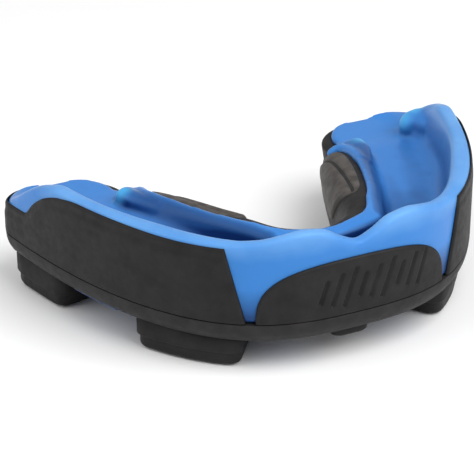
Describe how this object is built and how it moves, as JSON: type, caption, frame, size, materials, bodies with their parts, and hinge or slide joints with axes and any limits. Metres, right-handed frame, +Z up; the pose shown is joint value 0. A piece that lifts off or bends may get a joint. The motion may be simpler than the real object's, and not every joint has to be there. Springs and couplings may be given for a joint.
{
  "type": "mouthguard",
  "caption": "Two-material sports mouthguard for the upper teeth: a soft gel tooth trough in a rubber shell with cheek and front plates, palate grips and biting pads.",
  "frame": {"origin": "centre of the bounding box in plan, at the height of the surface the guard stands on", "axes": "+X towards the wearer's left arm of the arch as seen from the front, viewer's right; +Y back from the front teeth to the molars; +Z up, the way the tooth trough opens"},
  "size_m": [0.0668, 0.0456, 0.0196],
  "materials": {
    "gel_blue": "soft translucent gel, satin gloss",
    "rubber_black": "matt moulded rubber",
    "rubber_grey": "matt moulded rubber, warm dark grey"
  },
  "bodies": {
    "root": {"canine_pad_left": "rubber_black", "canine_pad_right": "rubber_black", "cheek_plate_left": "rubber_black", "cheek_plate_right": "rubber_black", "front_pad": "rubber_black", "front_plate": "rubber_black", "gel_inlay_front_left": "gel_blue", "gel_inlay_front_right": "gel_blue", "gel_inlay_molar_left": "gel_blue", "gel_inlay_molar_right": "gel_blue", "gel_liner": "gel_blue", "molar_pad_left": "rubber_black", "molar_pad_right": "rubber_black", "palate_plate_left": "rubber_grey", "palate_plate_right": "rubber_grey", "sole_frame": "rubber_black"}
  },
  "joints": []
}
